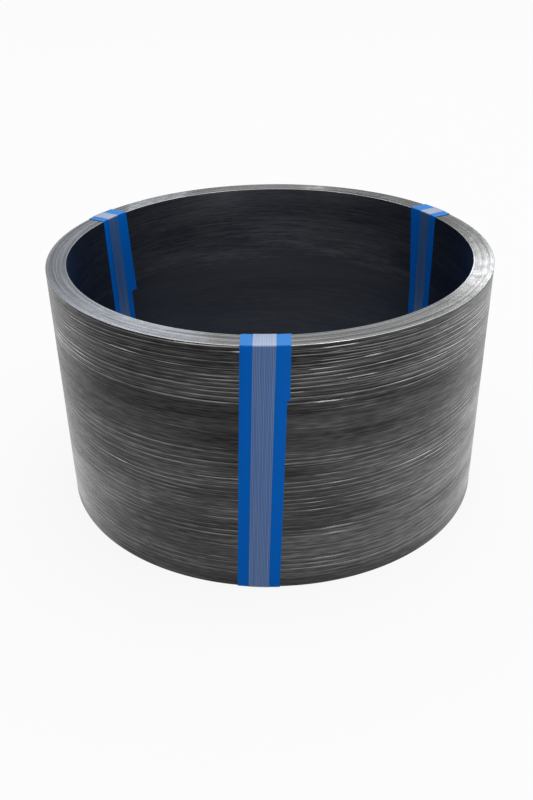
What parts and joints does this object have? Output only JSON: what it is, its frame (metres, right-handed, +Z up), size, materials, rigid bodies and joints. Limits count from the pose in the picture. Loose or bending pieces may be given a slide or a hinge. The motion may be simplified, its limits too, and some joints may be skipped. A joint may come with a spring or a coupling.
{
  "type": "steel coil",
  "caption": "Coil of dark steel strip standing on its end, with an open bore and a wall wound of thin turns, tied by blue tape under clear filament tape.",
  "frame": {"origin": "on the bore axis, at the floor under the ties", "axes": "+Z up along the bore axis, -Y towards the front tie"},
  "size_m": [0.558, 0.5589, 0.3182],
  "materials": {
    "strip_steel": "dark rolled strip with streaks along the winding",
    "blue_tape": "satin blue film",
    "filament_tape": "clear film with lengthwise glass threads"
  },
  "bodies": {
    "root": {"steel_coil": "strip_steel", "blue_tape_front": "blue_tape", "blue_tape_left": "blue_tape", "blue_tape_right": "blue_tape", "filament_tape_front": "filament_tape", "filament_tape_left": "filament_tape", "filament_tape_right": "filament_tape"}
  },
  "joints": []
}
